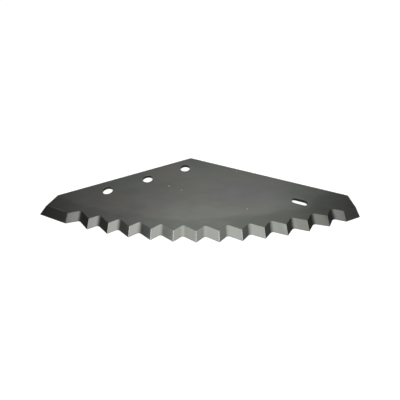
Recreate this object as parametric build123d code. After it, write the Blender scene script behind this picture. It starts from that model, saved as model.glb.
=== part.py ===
"""Feed mixer knife: a flat steel plate with a serrated, ground cutting edge.

Units are millimetres and Z points up. The plate lies flat with its underside on Z = 0.
X runs along the knife, the back apex is on the +Y side and the cutting edge faces -Y.
The shape is drawn about the centre of the cutting arc, then moved so that the middle
of its plan stands on the origin.
"""
from build123d import *
import math
import os

# Plate
thickness = 5.0
plate_depth = 184.4         # back apex to the cutting arc
apex_angle = -4.36          # where the apex sits round the arc, degrees from -Y
back_slope_angle = 22.8     # fall of both back edges from the apex, degrees
left_back_length = 230.0
right_back_length = 266.5

# Cutting arc and its serrations
edge_radius = 600.0
left_corner_angle = -25.8   # left corner of the cutting edge, degrees round the arc
right_corner_angle = 21.45
notch_count = 13
tooth_angle = 3.1           # one tooth, degrees round the arc: 32.5 mm along it
first_tip_angle = -20.7
end_tip_angle = -0.45       # the two outer tips are cut this much further to the left
root_share = 0.385          # share of a tooth between a tip and the root that follows it
notch_depth = 11.0
root_fillet = 5.5
tip_fillet = 0.9

# Ground bevel on the upper face
bevel_run = 16.5            # how far back the grinding reaches on the upper face
edge_land = 0.4             # upright land left at the cutting edge

# Fixing holes
bolt_hole = 17.0            # clearance for M16
hole_count = 3
hole_pitch = 67.4
hole_inset = 22.0           # from the left back edge
last_hole_back = 19.8       # last hole to the apex, along the left back edge
slot_length = 24.5
slot_width = 10.5           # clearance for M10
slot_from_edge = 53.5       # slot centre to the cutting arc
slot_angle = 14.47          # where the slot sits round the arc, degrees


def on_arc(radius, degrees):
    """A plan point at a distance and a turn about the centre of the cutting arc."""
    turn = math.radians(degrees)
    return Vector(radius * math.sin(turn), -radius * math.cos(turn))


def heading(degrees):
    """A unit direction in plan, measured from +X."""
    turn = math.radians(degrees)
    return Vector(math.cos(turn), math.sin(turn))


# Corners of the back and of the cutting edge
apex = on_arc(edge_radius - plate_depth, apex_angle)
down_left = heading(180.0 + back_slope_angle)
down_right = heading(-back_slope_angle)
back_left = apex + down_left * left_back_length
back_right = apex + down_right * right_back_length
corner_left = on_arc(edge_radius, left_corner_angle)
corner_right = on_arc(edge_radius, right_corner_angle)

# Tips and roots along the cutting edge, left to right
tips = []
roots = []
for index in range(notch_count + 1):
    angle = first_tip_angle + tooth_angle * index
    if index < notch_count:
        roots.append(on_arc(edge_radius - notch_depth, angle + tooth_angle * root_share))
    if index in (0, notch_count):
        angle = angle + end_tip_angle
    tips.append(on_arc(edge_radius, angle))

edge_line = [tips[0]]
for root, tip in zip(roots, tips[1:]):
    edge_line.append(root)
    edge_line.append(tip)

# Everything behind the edge line, with the plain stretches run on past the plate's ends
past = 0.1 * edge_radius
run_on_left = corner_left + (corner_left - tips[0]).normalized() * past
run_on_right = corner_right + (corner_right - tips[-1]).normalized() * past
behind = Face(
    Wire.make_polygon(
        [Vector(run_on_left.X, 0), run_on_left]
        + edge_line
        + [run_on_right, Vector(run_on_right.X, 0)],
        close=True,
    )
)
for corners, radius in ((roots, root_fillet), (tips[1:-1], tip_fillet)):
    picked = []
    for corner in corners:
        picked.append(behind.vertices().sort_by_distance(corner)[0])
    behind = behind.fillet_2d(radius, picked)

# The upright land, and the bevel that leans back above it. Each notch keeps its plan
# shape as it leans, so its flanks, root and tips run as parallel grooves and ridges.
land = extrude(behind, amount=edge_land, dir=(0, 0, 1))
lean = Vector(0, bevel_run, thickness - edge_land)
bevel = extrude(
    behind.moved(Location((0, 0, edge_land))),
    amount=lean.length,
    dir=lean.normalized(),
)

# Back edges and ends, cut square through the plate
front = -1.2 * edge_radius
end_left = corner_left + (corner_left - back_left).normalized() * past
end_right = corner_right + (corner_right - back_right).normalized() * past
plan = Face(
    Wire.make_polygon(
        [
            apex,
            back_left,
            end_left,
            Vector(end_left.X, front),
            Vector(end_right.X, front),
            end_right,
            back_right,
        ],
        close=True,
    )
)

# Round fixing holes in a line parallel to the left back edge
inward_left = heading(-90.0 + back_slope_angle)
for index in range(hole_count):
    along = last_hole_back + hole_pitch * index
    centre = apex + down_left * along + inward_left * hole_inset
    plan = plan - Circle(bolt_hole / 2).moved(Location((centre.X, centre.Y)))

# Slotted hole parallel to the right back edge
centre = on_arc(edge_radius - slot_from_edge, slot_angle)
turned = Location((centre.X, centre.Y), (0, 0, -back_slope_angle))
plan = plan - SlotOverall(slot_length, slot_width).moved(turned)

blade = extrude(plan, amount=thickness, dir=(0, 0, 1)) & (land + bevel)

# Middle of the plan onto the origin
box = blade.bounding_box()
blade = blade.moved(Location((-box.center().X, -box.center().Y, -box.min.Z)))
blade = blade.solids()[0]
blade.label = "root"

os.makedirs("parts", exist_ok=True)
export_step(blade, "parts/root.step")
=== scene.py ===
import bmesh
import bpy
import math
from mathutils import Matrix, Vector


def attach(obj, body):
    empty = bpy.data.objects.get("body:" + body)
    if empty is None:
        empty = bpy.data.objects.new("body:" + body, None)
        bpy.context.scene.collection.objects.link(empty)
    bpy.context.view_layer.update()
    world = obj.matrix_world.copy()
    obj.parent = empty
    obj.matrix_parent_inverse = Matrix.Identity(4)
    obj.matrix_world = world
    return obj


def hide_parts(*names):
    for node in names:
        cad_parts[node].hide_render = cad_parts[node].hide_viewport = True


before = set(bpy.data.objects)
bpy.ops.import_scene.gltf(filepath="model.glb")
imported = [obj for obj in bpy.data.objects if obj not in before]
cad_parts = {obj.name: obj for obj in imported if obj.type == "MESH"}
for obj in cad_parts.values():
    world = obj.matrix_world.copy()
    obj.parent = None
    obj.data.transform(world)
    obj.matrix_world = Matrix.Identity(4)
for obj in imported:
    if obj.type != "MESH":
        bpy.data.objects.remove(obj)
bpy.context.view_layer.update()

# Plate, in metres and degrees
THICKNESS = 0.005
PLATE_DEPTH = 0.1844        # back apex to the cutting arc
APEX_ANGLE = -4.36          # where the apex sits round the arc, from -Y
BACK_SLOPE = 22.8           # fall of both back edges from the apex
LEFT_BACK = 0.230
RIGHT_BACK = 0.2665

# Cutting arc and its serrations
EDGE_RADIUS = 0.600
LEFT_CORNER = -25.8         # left corner of the cutting edge, round the arc
RIGHT_CORNER = 21.45
NOTCHES = 13
TOOTH = 3.1                 # one tooth, round the arc
FIRST_TIP = -20.7
END_TIP = -0.45             # the two outer tips are cut this much further to the left
ROOT_SHARE = 0.385          # share of a tooth between a tip and the root that follows it
NOTCH_DEPTH = 0.011
ROOT_FILLET = 0.0055
TIP_FILLET = 0.0009

# Ground bevel on the upper face
BEVEL_RUN = 0.0165          # how far back the grinding reaches on the upper face
LAND = 0.0004               # upright land left at the cutting edge
LEAN = Vector((0.0, BEVEL_RUN))

# Fixing holes
HOLE_RADIUS = 0.0085
HOLES = 3
HOLE_PITCH = 0.0674
HOLE_INSET = 0.022          # from the left back edge
LAST_HOLE = 0.0198          # last hole to the apex, along the left back edge
SLOT_LENGTH = 0.0245
SLOT_WIDTH = 0.0105
SLOT_FROM_EDGE = 0.0535     # slot centre to the cutting arc
SLOT_ANGLE = 14.47          # where the slot sits round the arc

# Mesh: rounding of the cut edges, and how many faces go round each curve
RIM = 0.00025
RIM_STEPS = 4
ROOT_STEPS = 12
TIP_STEPS = 5
HOLE_STEPS = 72
SLOT_STEPS = 30             # round each end of the slot

# Edges that turn by more than this are kept crisp, on the plate and on the bevel
PLATE_CREASE = 32.0
BEVEL_CREASE = 5.0

# Numbers of the materials on the mesh
PLATE, BEVEL, RIDGE, WALL, ROUNDED = range(5)

scene = bpy.context.scene
scene.view_settings.view_transform = "Standard"


def on_arc(radius, degrees):
    """A plan point at a distance and a turn about the centre of the cutting arc."""
    turn = math.radians(degrees)
    return Vector((radius * math.sin(turn), -radius * math.cos(turn)))


def heading(degrees):
    """A unit direction in plan, measured from +X."""
    turn = math.radians(degrees)
    return Vector((math.cos(turn), math.sin(turn)))


def crossing(point_a, along_a, point_b, along_b):
    """Where two plan lines cross."""
    gap = point_b - point_a
    return point_a + along_a * (gap.cross(along_b) / along_a.cross(along_b))


def rounded_corner(before, corner, after, radius, steps):
    """Plan points of an arc of that radius that touches both sides of a corner."""
    u = (before - corner).normalized()
    v = (after - corner).normalized()
    half = u.angle(v) / 2
    centre = corner + (u + v).normalized() * (radius / math.sin(half))
    first = corner + u * (radius / math.tan(half)) - centre
    last = corner + v * (radius / math.tan(half)) - centre
    sweep = math.atan2(first.cross(last), first.dot(last))
    return [centre + Matrix.Rotation(sweep * step / steps, 2) @ first for step in range(steps + 1)]


# Corners of the back and of the cutting edge, about the centre of the arc
apex = on_arc(EDGE_RADIUS - PLATE_DEPTH, APEX_ANGLE)
down_left = heading(180.0 + BACK_SLOPE)
down_right = heading(-BACK_SLOPE)
back_left = apex + down_left * LEFT_BACK
back_right = apex + down_right * RIGHT_BACK
corner_left = on_arc(EDGE_RADIUS, LEFT_CORNER)
corner_right = on_arc(EDGE_RADIUS, RIGHT_CORNER)

# Tips and roots along the cutting edge, left to right
tips = []
roots = []
for index in range(NOTCHES + 1):
    angle = FIRST_TIP + TOOTH * index
    if index < NOTCHES:
        roots.append(on_arc(EDGE_RADIUS - NOTCH_DEPTH, angle + TOOTH * ROOT_SHARE))
    if index in (0, NOTCHES):
        angle = angle + END_TIP
    tips.append(on_arc(EDGE_RADIUS, angle))

# The serrated line from the first tip to the last, with rounded roots and tips, and the
# stretches of it that lie on a rounded tip
serrations = [tips[0]]
ridges = []
for index in range(NOTCHES):
    root = roots[index]
    next_tip = tips[index + 1]
    serrations += rounded_corner(tips[index], root, next_tip, ROOT_FILLET, ROOT_STEPS)
    if index < NOTCHES - 1:
        ridges += range(len(serrations), len(serrations) + TIP_STEPS)
        serrations += rounded_corner(root, next_tip, roots[index + 1], TIP_FILLET, TIP_STEPS)
serrations.append(tips[-1])

# The model's origin is the middle of the plan's box
outline = serrations + [corner_left, back_left, apex, back_right, corner_right]
middle_x = (min(point.x for point in outline) + max(point.x for point in outline)) / 2
middle_y = (min(point.y for point in outline) + max(point.y for point in outline)) / 2
MIDDLE = Vector((middle_x, middle_y))

# Rounding of a cut edge, from the wall to the flat face: how far in and how far off the face
ROUNDING = []
for step in range(RIM_STEPS + 1):
    turned = heading(90.0 * step / RIM_STEPS)
    ROUNDING.append((RIM * (1 - turned.x), RIM * (1 - turned.y)))


def add_points(mesh, points, height):
    """Vertices over plan points at a height."""
    return [mesh.verts.new((*(point - MIDDLE), height)) for point in points]


def finish_face(face, kind):
    """A face's material, and smooth shading up to the creases."""
    face.material_index = kind
    face.smooth = True


def add_strip(mesh, lower, upper, kind, closed=False):
    """A strip of faces between two rows of vertices."""
    for index in range(len(lower) if closed else len(lower) - 1):
        after = (index + 1) % len(lower)
        corners = [lower[index], lower[after], upper[after], upper[index]]
        finish_face(mesh.faces.new(corners), kind)


def back_row(mesh, inset, height):
    """The ends and back edges at a height, drawn in from the walls, left to right."""
    lean = LEAN * max(0.0, (height - LAND) / (THICKNESS - LAND))
    sides = [
        (corner_left + lean, tips[0] - corner_left),
        (corner_left, back_left - corner_left),
        (back_left, apex - back_left),
        (apex, back_right - apex),
        (back_right, corner_right - back_right),
        (corner_right + lean, tips[-1] - corner_right),
    ]
    drawn = [sides[0]]
    for point, along in sides[1:-1]:
        drawn.append((point + Vector((along.y, -along.x)).normalized() * inset, along))
    drawn.append(sides[-1])
    points = []
    for first, second in zip(drawn, drawn[1:]):
        points.append(crossing(*first, *second))
    return add_points(mesh, points, height)


def add_back(mesh):
    """Walls of the back and ends with their rounded edges, lower and upper."""
    under = [back_row(mesh, inset, drop) for inset, drop in ROUNDING]
    over = [back_row(mesh, inset, THICKNESS - drop) for inset, drop in ROUNDING]
    add_strip(mesh, under[0], over[0], WALL)
    for rows in (under, over):
        for outer, inner in zip(rows, rows[1:]):
            add_strip(mesh, outer, inner, ROUNDED)
    return under, over


def add_edge(mesh, under, over):
    """The land and the ground bevel, between the two ends of the back."""
    foot = add_points(mesh, serrations, 0.0)
    shoulder = add_points(mesh, serrations, LAND)
    top = add_points(mesh, [point + LEAN for point in serrations], THICKNESS)
    add_strip(mesh, foot, shoulder, WALL)
    for index in range(len(serrations) - 1):
        kind = RIDGE if index in ridges else BEVEL
        add_strip(mesh, shoulder[index:index + 2], top[index:index + 2], kind)
    for corner, side in ((corner_left, 0), (corner_right, -1)):
        land = add_points(mesh, [corner], LAND)[0]
        low = [row[side] for row in under]
        high = [row[side] for row in over]
        finish_face(mesh.faces.new([land] + low + [foot[side], shoulder[side]]), WALL)
        finish_face(mesh.faces.new([land] + high + [top[side], shoulder[side]]), BEVEL)
        finish_face(mesh.faces.new([land, low[0], high[0]]), WALL)
    return foot, top


def hole_outlines():
    """The round holes: plan points, each with its outward direction."""
    inward = heading(-90.0 + BACK_SLOPE)
    ring = [heading(360.0 * step / HOLE_STEPS) for step in range(HOLE_STEPS)]
    outlines = []
    for index in range(HOLES):
        centre = apex + down_left * (LAST_HOLE + HOLE_PITCH * index) + inward * HOLE_INSET
        outlines.append([(centre + outward * HOLE_RADIUS, outward) for outward in ring])
    return outlines


def slot_outline():
    """The slot, in the same way."""
    centre = on_arc(EDGE_RADIUS - SLOT_FROM_EDGE, SLOT_ANGLE)
    slot = []
    for turn in (-BACK_SLOPE, 180.0 - BACK_SLOPE):
        end = centre + heading(turn) * (SLOT_LENGTH - SLOT_WIDTH) / 2
        for step in range(SLOT_STEPS + 1):
            outward = heading(turn - 90.0 + 180.0 * step / SLOT_STEPS)
            slot.append((end + outward * SLOT_WIDTH / 2, outward))
    return slot


def add_openings(mesh):
    """Walls of the openings with their rounded edges, lower and upper."""
    under = []
    over = []
    levels = ROUNDING[::-1] + [(inset, THICKNESS - drop) for inset, drop in ROUNDING]
    for opening in hole_outlines() + [slot_outline()]:
        rows = []
        for inset, height in levels:
            widened = [point + outward * inset for point, outward in opening]
            rows.append(add_points(mesh, widened, height))
        for level, (lower, upper) in enumerate(zip(rows, rows[1:])):
            kind = WALL if level == RIM_STEPS else ROUNDED
            add_strip(mesh, lower, upper, kind, closed=True)
        under.append(rows[0])
        over.append(rows[-1])
    return under, over


def fill_flat(mesh, loops):
    """A flat face of the plate, bounded by an outer loop and the loops of its openings."""
    edges = []
    for loop in loops:
        for first, second in zip(loop, loop[1:] + loop[:1]):
            edges.append(mesh.edges.get((first, second)) or mesh.edges.new((first, second)))
    made = bmesh.ops.triangle_fill(mesh, edges=edges, use_beauty=True)
    for face in made["geom"]:
        if isinstance(face, bmesh.types.BMFace):
            finish_face(face, PLATE)


def crease(mesh):
    """Keep the shading crisp wherever two surfaces meet without a rounding."""
    for edge in mesh.edges:
        kinds = {face.material_index for face in edge.link_faces}
        limit = BEVEL_CREASE if kinds & {BEVEL, RIDGE} else PLATE_CREASE
        edge.smooth = edge.calc_face_angle() < math.radians(limit)


def build_blade():
    """The whole knife as one closed mesh."""
    mesh = bmesh.new()
    under, over = add_back(mesh)
    foot, top = add_edge(mesh, under, over)
    rims_under, rims_over = add_openings(mesh)
    fill_flat(mesh, [under[-1][::-1] + foot] + rims_under)
    fill_flat(mesh, [over[-1][::-1] + top] + rims_over)
    bmesh.ops.recalc_face_normals(mesh, faces=mesh.faces[:])
    crease(mesh)
    data = bpy.data.meshes.new("knife_blade")
    mesh.to_mesh(data)
    mesh.free()
    return data


# Places of the colour sockets on a Mix node
MIX_FIRST = 6
MIX_SECOND = 7
MIX_RESULT = 2


class Graph:
    """Short calls for building one material's nodes."""

    def __init__(self, name, reach=THICKNESS / 2):
        """An empty material, whose spots reach that far above and below the upper face."""
        self.reach = reach
        self.material = bpy.data.materials.new(name)
        self.material.use_nodes = True
        self.tree = self.material.node_tree
        self.tree.nodes.clear()

    def node(self, kind, **settings):
        """A new node with its settings."""
        made = self.tree.nodes.new(kind)
        for key, value in settings.items():
            setattr(made, key, value)
        return made

    def put(self, value, socket):
        """Link another node's output to a socket, or set the socket to a value."""
        if isinstance(value, bpy.types.NodeSocket):
            self.tree.links.new(value, socket)
        elif socket.type == "RGBA":
            socket.default_value = (*value, 1.0)
        else:
            socket.default_value = value

    def math(self, operation, *values):
        """The result of a sum on one to three values."""
        made = self.node("ShaderNodeMath", operation=operation)
        for index, value in enumerate(values):
            self.put(value, made.inputs[index])
        return made.outputs[0]

    def length(self, vector):
        """The length of a vector."""
        made = self.node("ShaderNodeVectorMath", operation="LENGTH")
        self.put(vector, made.inputs[0])
        return made.outputs["Value"]

    def ramp(self, value, low, high, to_low=0.0, to_high=1.0):
        """A smooth change from one result to another as a value goes from low to high."""
        made = self.node("ShaderNodeMapRange", interpolation_type="SMOOTHSTEP")
        for index, number in enumerate((value, low, high, to_low, to_high)):
            self.put(number, made.inputs[index])
        return made.outputs["Result"]

    def place(self):
        """Where a point of the surface lies, in metres."""
        return self.node("ShaderNodeTexCoord").outputs["Object"]

    def stretch(self, vector, scale, turn=0.0):
        """A place, scaled along each axis and turned in plan."""
        made = self.node("ShaderNodeMapping")
        self.put(vector, made.inputs["Vector"])
        made.inputs["Rotation"].default_value = (0.0, 0.0, math.radians(turn))
        made.inputs["Scale"].default_value = scale
        return made.outputs["Vector"]

    def spot(self, vector, x, y, length, width, turn=0.0):
        """A soft-edged oval about the upper face: 1 in its middle and 0 outside."""
        made = self.node("ShaderNodeMapping", vector_type="TEXTURE")
        self.put(vector, made.inputs["Vector"])
        made.inputs["Location"].default_value = (x, y, THICKNESS)
        made.inputs["Rotation"].default_value = (0.0, 0.0, math.radians(turn))
        made.inputs["Scale"].default_value = (length / 2, width / 2, self.reach)
        return self.ramp(self.length(made.outputs["Vector"]), 0.2, 1.0, to_low=1.0, to_high=0.0)

    def noise(self, vector, scale, detail=2.0, rough=0.5):
        """Cloudy noise, from 0 to 1."""
        made = self.node("ShaderNodeTexNoise")
        self.put(vector, made.inputs["Vector"])
        made.inputs["Scale"].default_value = scale
        made.inputs["Detail"].default_value = detail
        made.inputs["Roughness"].default_value = rough
        return made.outputs["Fac"]

    def mix(self, factor, first, second):
        """A colour between two: the first at a factor of 0 and the second at 1."""
        made = self.node("ShaderNodeMix", data_type="RGBA")
        self.put(factor, made.inputs[0])
        self.put(first, made.inputs[MIX_FIRST])
        self.put(second, made.inputs[MIX_SECOND])
        return made.outputs[MIX_RESULT]

    def bump(self, height, distance, strength, normal=None):
        """A normal that follows a height, on top of another normal if there is one."""
        made = self.node("ShaderNodeBump")
        self.put(height, made.inputs["Height"])
        made.inputs["Distance"].default_value = distance
        made.inputs["Strength"].default_value = strength
        if normal is not None:
            self.put(normal, made.inputs["Normal"])
        return made.outputs["Normal"]

    def surface(self, output):
        """The material, with a shader on its surface."""
        self.put(output, self.node("ShaderNodeOutputMaterial").inputs["Surface"])
        return self.material

    def steel(self, colour, rough, normal):
        """The material, as bare metal."""
        shader = self.node("ShaderNodeBsdfPrincipled")
        shader.inputs["Metallic"].default_value = 1.0
        self.put(colour, shader.inputs["Base Color"])
        self.put(rough, shader.inputs["Roughness"])
        self.put(normal, shader.inputs["Normal"])
        return self.surface(shader.outputs[0])


# Colours of the steel
GREY = (0.136, 0.137, 0.128)
GREENISH = (0.128, 0.138, 0.124)
BROWNISH = (0.140, 0.135, 0.120)
BLUISH = (0.132, 0.136, 0.135)
BAND_COLOUR = (0.112, 0.117, 0.105)
# Pale colour of the scratches and of the painted highlight along the top of the bevel
SCRATCH_AND_HIGHLIGHT_COLOUR = (0.40, 0.41, 0.40)

# Darkest and palest colour of the ridges, which carry a painted highlight, of the cut walls and of
# the rounded edges
RIDGE_HIGHLIGHT_COLOURS = ((0.17, 0.17, 0.165), (0.25, 0.25, 0.245))
WALL_COLOURS = ((0.012, 0.012, 0.011), (0.034, 0.034, 0.031))
ROUNDED_COLOURS = ((0.09, 0.09, 0.085), (0.18, 0.18, 0.17))

# Darker band behind the cutting arc, about a centre a little left of the arc's own
BAND_DEPTH = 0.040
BAND_CENTRE = Vector((-0.006, 0.0)) - MIDDLE
BAND_STRENGTH = 0.9
BAND_WANDER = 0.004         # how far its border strays each way

# Darker right end: which way its border faces, how far that is from the origin, and its strength
# beside the band's
END_HEADING = -46.0
END_DISTANCE = 0.139
END_STRENGTH = 0.6

# Faint colour patches on the upper face: x, y, length, width, colour
TINT_STRENGTH = 0.8
TINTED = (
    (0.015, 0.054, 0.060, 0.040, GREENISH),
    (0.050, -0.056, 0.100, 0.030, GREENISH),
    (-0.045, 0.056, 0.075, 0.045, BROWNISH),
    (-0.132, -0.011, 0.070, 0.045, BROWNISH),
    (0.080, -0.004, 0.160, 0.090, BLUISH),
)

# Patches on the upper face that look brighter or duller in the photograph, made brighter or duller
# in colour: x, y, length, width, gain in brightness
PLATE_PATCHES = (
    (0.012, -0.045, 0.240, 0.075, 0.16),
    (0.125, -0.028, 0.140, 0.070, 0.12),
    (0.188, 0.004, 0.070, 0.045, 0.14),
    (-0.045, 0.018, 0.120, 0.080, -0.09),
)

# Small bright scratches on the upper face, and last a painted highlight along the top of the
# bevel: x, y, length, width, turn, strength
MARKS_AND_HIGHLIGHT_LINE = (
    (-0.0455, 0.0197, 0.0090, 0.0014, -40.0, 1.0),
    (-0.0245, 0.0092, 0.0060, 0.0015, -5.0, 1.0),
    (0.0757, -0.0351, 0.0036, 0.0022, 45.0, 1.0),
    (0.0680, 0.0525, 0.0040, 0.0016, -40.0, 1.0),
    (-0.2150, -0.0262, 0.0420, 0.0022, -24.0, 0.25),
)

# Places on the ground bevel that look brighter or duller in the photograph, given painted light
# and shade: x, y, length, width, gain in brightness
BEVEL_PAINTED_LIGHT = (
    (-0.186, -0.042, 0.034, 0.040, 0.30),
    (-0.075, -0.072, 0.030, 0.040, -0.30),
    (-0.043, -0.076, 0.030, 0.040, -0.22),
    (0.133, -0.069, 0.028, 0.036, 0.30),
    (0.196, -0.053, 0.026, 0.036, -0.28),
    (0.210, -0.049, 0.022, 0.036, 0.15),
)


def shaded(graph, place, colour, shade, patches):
    """A colour made brighter or duller by a shade and in patches, which on the bevel are painted
    light and shade.
    """
    for x, y, length, width, gain in patches:
        patch = graph.spot(place, x, y, length, width)
        shade = graph.math("MULTIPLY", shade, graph.math("MULTIPLY_ADD", patch, gain, 1.0))
    tone = graph.node("ShaderNodeVectorMath", operation="SCALE")
    graph.put(colour, tone.inputs[0])
    graph.put(shade, tone.inputs["Scale"])
    return tone.outputs["Vector"]


def tinted_steel(graph, place):
    """Dark steel with faint greenish and brownish clouds."""
    green = graph.ramp(graph.noise(place, scale=9.0), 0.42, 0.62, to_high=0.6)
    brown = graph.noise(graph.stretch(place, scale=(1.0, 1.6, 1.0), turn=20.0), scale=15.0)
    colour = graph.mix(green, GREY, GREENISH)
    return graph.mix(graph.ramp(brown, 0.50, 0.70, to_high=0.4), colour, BROWNISH)


def from_band_centre(graph, place):
    """How far a point lies from the centre of the darker band, in plan."""
    middle = graph.node("ShaderNodeVectorMath", operation="MULTIPLY_ADD")
    graph.put(place, middle.inputs[0])
    middle.inputs[1].default_value = (1.0, 1.0, 0.0)
    middle.inputs[2].default_value = (*(-BAND_CENTRE), 0.0)
    return graph.length(middle.outputs["Vector"])


def toward_end(graph, place):
    """How far a point lies from the origin towards the darker end."""
    across = graph.node("ShaderNodeVectorMath", operation="DOT_PRODUCT")
    graph.put(place, across.inputs[0])
    across.inputs[1].default_value = (*heading(END_HEADING), 0.0)
    return across.outputs["Value"]


def darker_band(graph, place):
    """1 in the band along the cutting arc, less at the right end, with a wandering border."""
    wander = graph.ramp(graph.noise(place, scale=22.0), 0.3, 0.7, -BAND_WANDER, BAND_WANDER)
    behind = graph.math("SUBTRACT", from_band_centre(graph, place), EDGE_RADIUS - BAND_DEPTH)
    band = graph.ramp(graph.math("ADD", behind, wander), -0.003, 0.004)
    past = graph.math("SUBTRACT", toward_end(graph, place), END_DISTANCE)
    end = graph.ramp(graph.math("ADD", past, wander), -0.003, 0.003, to_high=END_STRENGTH)
    return graph.math("MAXIMUM", band, end)


def plate_material():
    """The flat faces of the plate, with the darker band along the cutting arc."""
    graph = Graph("banded_plate")
    place = graph.place()
    colour = tinted_steel(graph, place)
    for x, y, length, width, tint in TINTED:
        patch = graph.spot(place, x, y, length, width)
        colour = graph.mix(graph.math("MULTIPLY", patch, TINT_STRENGTH), colour, tint)
    band = graph.math("MULTIPLY", darker_band(graph, place), BAND_STRENGTH)
    colour = graph.mix(band, colour, BAND_COLOUR)
    drift = graph.stretch(place, scale=(1.0, 2.2, 1.0), turn=-8.0)
    cloud = graph.noise(drift, scale=26.0, detail=4.0, rough=0.6)
    colour = shaded(graph, place, colour, graph.ramp(cloud, 0.25, 0.75, 0.94, 1.06), PLATE_PATCHES)
    # Scratches, and a painted highlight along the top of the bevel
    for x, y, length, width, turn, strength in MARKS_AND_HIGHLIGHT_LINE:
        mark = graph.spot(place, x, y, length, width, turn)
        colour = graph.mix(graph.math("MULTIPLY", mark, strength), colour, SCRATCH_AND_HIGHLIGHT_COLOUR)
    rough = graph.ramp(cloud, 0.3, 0.7, to_low=0.285, to_high=0.325)
    rolled = graph.stretch(place, scale=(1.0, 14.0, 1.0), turn=3.0)
    roll = graph.noise(rolled, scale=160.0, detail=3.0, rough=0.6)
    wave = graph.noise(place, scale=12.0, detail=1.0)
    waved = graph.bump(wave, distance=0.00025, strength=0.6)
    normal = graph.bump(roll, distance=0.00001, strength=0.5, normal=waved)
    return graph.steel(colour, rough, normal)


def bevel_material():
    """The ground bevel, with fine marks running back from the edge, and painted light and shade on
    some facets.
    """
    graph = Graph("ground_bevel", reach=4 * THICKNESS)
    place = graph.place()
    drawn = graph.stretch(place, scale=(1.0, 0.03, 0.03))
    marks = graph.noise(drawn, scale=900.0, detail=3.0, rough=0.6)
    streak = graph.ramp(marks, 0.2, 0.8, to_low=0.96, to_high=1.04)
    colour = shaded(graph, place, tinted_steel(graph, place), streak, BEVEL_PAINTED_LIGHT)
    normal = graph.bump(marks, distance=0.000004, strength=0.3)
    return graph.steel(colour, rough=0.31, normal=normal)


def ridge_highlight_material():
    """The ridges that run back from the tooth tips, painted brighter than the steel as a
    highlight.
    """
    graph = Graph("ridge_highlight")
    speckle = graph.noise(graph.place(), scale=300.0, detail=3.0, rough=0.65)
    mottle = graph.ramp(speckle, 0.35, 0.65)
    normal = graph.bump(mottle, distance=0.000004, strength=0.3)
    return graph.steel(graph.mix(mottle, *RIDGE_HIGHLIGHT_COLOURS), rough=0.28, normal=normal)


def wall_material():
    """Dark cut walls, streaked from face to face by the cutting."""
    graph = Graph("cut_wall")
    drawn = graph.stretch(graph.place(), scale=(1.0, 1.0, 0.06))
    streak = graph.noise(drawn, scale=1400.0, detail=3.0, rough=0.7)
    normal = graph.bump(streak, distance=0.00006, strength=0.8)
    return graph.steel(graph.mix(streak, *WALL_COLOURS), rough=0.42, normal=normal)


def rounded_material():
    """The rounded edges of the cut walls, rubbed a little."""
    graph = Graph("rubbed_edge")
    mottle = graph.noise(graph.place(), scale=240.0, detail=3.0, rough=0.65)
    colour = graph.mix(graph.ramp(mottle, 0.35, 0.65), *ROUNDED_COLOURS)
    normal = graph.bump(mottle, distance=0.00003, strength=0.5)
    return graph.steel(colour, rough=0.34, normal=normal)


knife = bpy.data.objects.new("knife_blade", build_blade())
scene.collection.objects.link(knife)
for make in (plate_material, bevel_material, ridge_highlight_material, wall_material, rounded_material):
    knife.data.materials.append(make())
shading = knife.modifiers.new("even_shading", "WEIGHTED_NORMAL")
shading.keep_sharp = True
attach(knife, "root")
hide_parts("root")

# Floor: half its width, how far it lies under the knife, and its colour under the lamps
FLOOR_HALF = 5
FLOOR_DROP = 0.0002
FLOOR_COLOUR = (0.34, 0.34, 0.34)

# Glow that the floor adds for the camera, near the knife and away from it
GLOW_NEAR = 0.80
GLOW_AWAY = 0.98


def floor_material():
    """Near white to the camera, gloss and glass, and dark enough to take a soft shadow."""
    graph = Graph("pale_floor")
    rays = graph.node("ShaderNodeLightPath").outputs
    seen = graph.math("MAXIMUM", rays["Is Camera Ray"], rays["Is Glossy Ray"])
    seen = graph.math("MAXIMUM", seen, rays["Is Transmission Ray"])
    level = graph.ramp(graph.length(graph.place()), 0.15, 1.3, GLOW_NEAR, GLOW_AWAY)
    diffuse = graph.node("ShaderNodeBsdfDiffuse")
    graph.put(FLOOR_COLOUR, diffuse.inputs["Color"])
    glow = graph.node("ShaderNodeEmission")
    graph.put(graph.math("MULTIPLY", seen, level), glow.inputs["Strength"])
    both = graph.node("ShaderNodeAddShader")
    graph.put(diffuse.outputs[0], both.inputs[0])
    graph.put(glow.outputs[0], both.inputs[1])
    return graph.surface(both.outputs[0])


def build_floor():
    """One large square under the knife."""
    corners = []
    for x, y in ((-1, -1), (1, -1), (1, 1), (-1, 1)):
        corners.append((FLOOR_HALF * x, FLOOR_HALF * y, 0))
    data = bpy.data.meshes.new("floor")
    data.from_pydata(corners, [], [(0, 1, 2, 3)])
    data.materials.append(floor_material())
    floor = bpy.data.objects.new("floor", data)
    floor.location.z = -FLOOR_DROP
    scene.collection.objects.link(floor)


build_floor()

# Softboxes over the knife, brighter towards its middle, with widths and radiances fitted to the
# brightness of the steel in the photograph: x, width, radiance
OVERHEAD = ((0.075, 1.20, 0.33), (0.0, 0.75, 1.70), (-0.0375, 0.375, 1.42))
OVERHEAD_HEIGHT = 0.602
OVERHEAD_Y = 0.05
OVERHEAD_AIM_Y = 0.0501     # a hair off straight down, which settles how the lamp is turned
OVERHEAD_DEPTH = 0.50

# Dimmer softboxes behind the knife, as far up as they are back, with radiances from the same
# fit: x, width, radiance
BEHIND = ((0.0, 1.44, 0.47), (0.0, 0.96, 0.17), (0.12, 0.72, 0.50))
BEHIND_AWAY = 0.752
BEHIND_DEPTH = 0.40

# The softboxes of one set hang this far apart, so that no two lie in one plane
SOFTBOX_GAP = 0.001

# One broad softbox in front of the knife
FRONT_PLACE = (0.0, -0.95, 0.85)
FRONT_WIDTH = 1.60
FRONT_DEPTH = 0.80
FRONT_RADIANCE = 0.90


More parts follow.
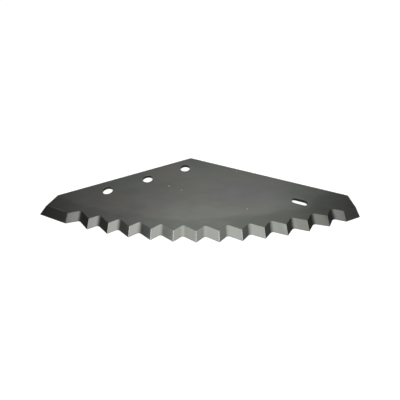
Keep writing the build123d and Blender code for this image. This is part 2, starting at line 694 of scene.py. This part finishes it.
def softbox(name, place, aim, width, height, radiance):
    """An area lamp of a given brightness, whatever its size."""
    data = bpy.data.lights.new(name, "AREA")
    data.shape = "RECTANGLE"
    data.size = width
    data.size_y = height
    data.energy = radiance * math.pi * width * height
    lamp = bpy.data.objects.new(name, data)
    scene.collection.objects.link(lamp)
    lamp.location = place
    lamp.rotation_euler = (Vector(aim) - Vector(place)).to_track_quat("-Z", "Y").to_euler()


def hang_softboxes():
    """The soft studio light, from above, behind and in front."""
    for index, (x, width, radiance) in enumerate(OVERHEAD):
        place = (x, OVERHEAD_Y, OVERHEAD_HEIGHT - SOFTBOX_GAP * index)
        aim = (x, OVERHEAD_AIM_Y, 0.0)
        softbox(f"overhead_{index}", place, aim, width, OVERHEAD_DEPTH, radiance)
    for index, (x, width, radiance) in enumerate(BEHIND):
        away = BEHIND_AWAY - SOFTBOX_GAP * index
        softbox(f"back_{index}", (x, away, away), (x, 0.0, 0.0), width, BEHIND_DEPTH, radiance)
    softbox("front", FRONT_PLACE, (0.0, 0.0, 0.0), FRONT_WIDTH, FRONT_DEPTH, FRONT_RADIANCE)


hang_softboxes()

# Room: white up to one rise above the horizon and dim from another, as shares of straight up
ROOM_WHITE_TO = 0.05
ROOM_DIM_FROM = 0.40
ROOM_DIM = 0.06


def build_room():
    """A room that is pale at the horizon and dim above, so that the facets keep contrast."""
    world = bpy.data.worlds.new("room")
    world.use_nodes = True
    nodes = world.node_tree.nodes
    links = world.node_tree.links
    direction = nodes.new("ShaderNodeTexCoord")
    parts = nodes.new("ShaderNodeSeparateXYZ")
    rise = nodes.new("ShaderNodeMapRange")
    rise.interpolation_type = "SMOOTHSTEP"
    rise.inputs["From Min"].default_value = ROOM_WHITE_TO
    rise.inputs["From Max"].default_value = ROOM_DIM_FROM
    rise.inputs["To Min"].default_value = 1.0
    rise.inputs["To Max"].default_value = ROOM_DIM
    links.new(direction.outputs["Generated"], parts.inputs[0])
    links.new(parts.outputs["Z"], rise.inputs["Value"])
    links.new(rise.outputs["Result"], nodes["Background"].inputs["Strength"])
    nodes["Background"].inputs["Color"].default_value = (1.0, 1.0, 1.0, 1.0)
    scene.world = world


build_room()

# Camera: its place, its lens in millimetres, and how far it looks down, rolls and turns
CAMERA_PLACE = (0.0098286, -0.3607741, 0.353488)
CAMERA_LENS = 28.458
CAMERA_FALL = 45.136
CAMERA_ROLL = -1.766
CAMERA_SWING = 0.828


def build_camera():
    """The camera at the photograph's place, above the front of the knife."""
    data = bpy.data.cameras.new("camera")
    data.sensor_width = 36.0
    data.lens = CAMERA_LENS
    data.clip_start = 0.01
    camera = bpy.data.objects.new("camera", data)
    scene.collection.objects.link(camera)
    fall = math.radians(CAMERA_FALL)
    roll = math.radians(CAMERA_ROLL)
    swing = math.radians(CAMERA_SWING)
    level = Vector((math.cos(swing), math.sin(swing), 0.0))
    forward = Vector((-level.y * math.cos(fall), level.x * math.cos(fall), -math.sin(fall)))
    upright = level.cross(forward)
    right = level * math.cos(roll) + upright * math.sin(roll)
    up = upright * math.cos(roll) - level * math.sin(roll)
    turned = Matrix((right, up, -forward)).transposed().to_4x4()
    camera.matrix_world = Matrix.Translation(CAMERA_PLACE) @ turned
    scene.camera = camera


build_camera()
